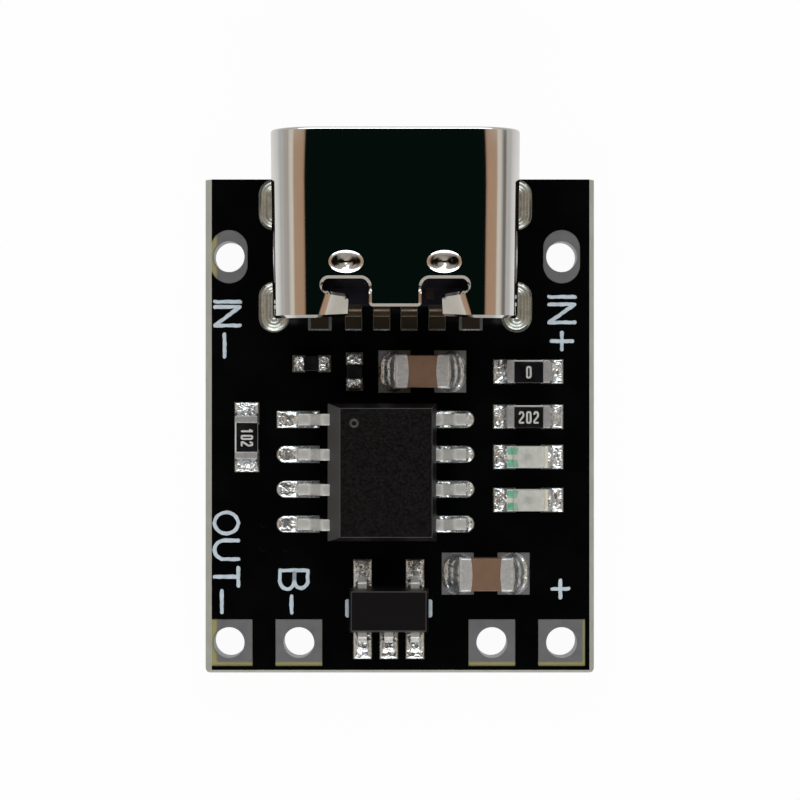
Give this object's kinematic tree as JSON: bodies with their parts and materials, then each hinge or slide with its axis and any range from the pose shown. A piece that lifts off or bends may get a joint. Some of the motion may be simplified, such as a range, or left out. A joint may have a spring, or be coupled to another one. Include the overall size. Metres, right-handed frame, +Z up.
{
  "type": "lithium battery charger module",
  "caption": "Small black circuit board that charges a lithium cell: reversible charging socket at one end, charger and protection chips, indicator lamps and plated wire holes.",
  "frame": {"origin": "middle of the board's underside, in the plane that it rests on", "axes": "+X across the board, +Y towards the charging socket's mouth, +Z up from the side with the parts"},
  "size_m": [0.0142, 0.0196, 0.0044],
  "materials": {
    "laminate": "raw sawn glass-epoxy",
    "ink": "gloss black lacquer",
    "tinned_copper": "levelled tin, dull",
    "shell_steel": "bright nickel",
    "socket_plastic": "moulded black",
    "contact_metal": "plated",
    "plate_steel": "satin",
    "chip_plastic": "fine matt moulded",
    "lead_metal": "satin tin",
    "ceramic_white": "sintered",
    "glaze_black": "gloss",
    "end_metal": "satin tin",
    "lamp_laminate": "matt",
    "lamp_resin": "clear moulded",
    "lamp_die": "polished",
    "capacitor_ceramic": "sintered",
    "solder": "bright, wrinkled"
  },
  "bodies": {
    "root": {"plated_hole_out_minus": "tinned_copper", "plated_hole_battery_minus": "tinned_copper", "plated_hole_battery_plus": "tinned_copper", "plated_hole_out_plus": "tinned_copper", "plated_hole_input_minus": "tinned_copper", "plated_hole_input_plus": "tinned_copper", "printed_board": "laminate", "solder_mask_top": "ink", "solder_mask_underside": "ink", "socket_leg_sleeves": "tinned_copper", "surface_lands": "tinned_copper", "socket_shell": "shell_steel", "socket_contact_ground_left": "contact_metal", "socket_contact_supply_left": "contact_metal", "socket_contact_sense_left": "contact_metal", "socket_contact_sense_right": "contact_metal", "socket_contact_supply_right": "contact_metal", "socket_contact_ground_right": "contact_metal", "socket_mid_plate": "plate_steel", "socket_housing": "socket_plastic", "charger_chip_body": "chip_plastic", "charger_chip_leads": "lead_metal", "protection_chip_body": "chip_plastic", "protection_chip_leads": "lead_metal", "link_resistor_ceramic": "ceramic_white", "link_resistor_glaze": "glaze_black", "link_resistor_ends": "end_metal", "current_resistor_ceramic": "ceramic_white", "current_resistor_glaze": "glaze_black", "current_resistor_ends": "end_metal", "side_resistor_ceramic": "ceramic_white", "side_resistor_glaze": "glaze_black", "side_resistor_ends": "end_metal", "small_resistor_one_ceramic": "ceramic_white", "small_resistor_one_glaze": "glaze_black", "small_resistor_one_ends": "end_metal", "small_resistor_two_ceramic": "ceramic_white", "small_resistor_two_glaze": "glaze_black", "small_resistor_two_ends": "end_metal", "charging_lamp_base": "lamp_laminate", "charging_lamp_ends": "end_metal", "charging_lamp_die": "lamp_die", "charging_lamp_lens": "lamp_resin", "charged_lamp_base": "lamp_laminate", "charged_lamp_ends": "end_metal", "charged_lamp_die": "lamp_die", "charged_lamp_lens": "lamp_resin", "input_capacitor_block": "capacitor_ceramic", "input_capacitor_ends": "end_metal", "output_capacitor_block": "capacitor_ceramic", "output_capacitor_ends": "end_metal", "solder_socket_legs": "solder", "solder_socket_contacts": "solder", "solder_charger_chip": "solder", "solder_protection_chip": "solder", "solder_resistors": "solder", "solder_lamps": "solder", "solder_capacitors": "solder", "solder_small_resistors": "solder"}
  },
  "joints": []
}
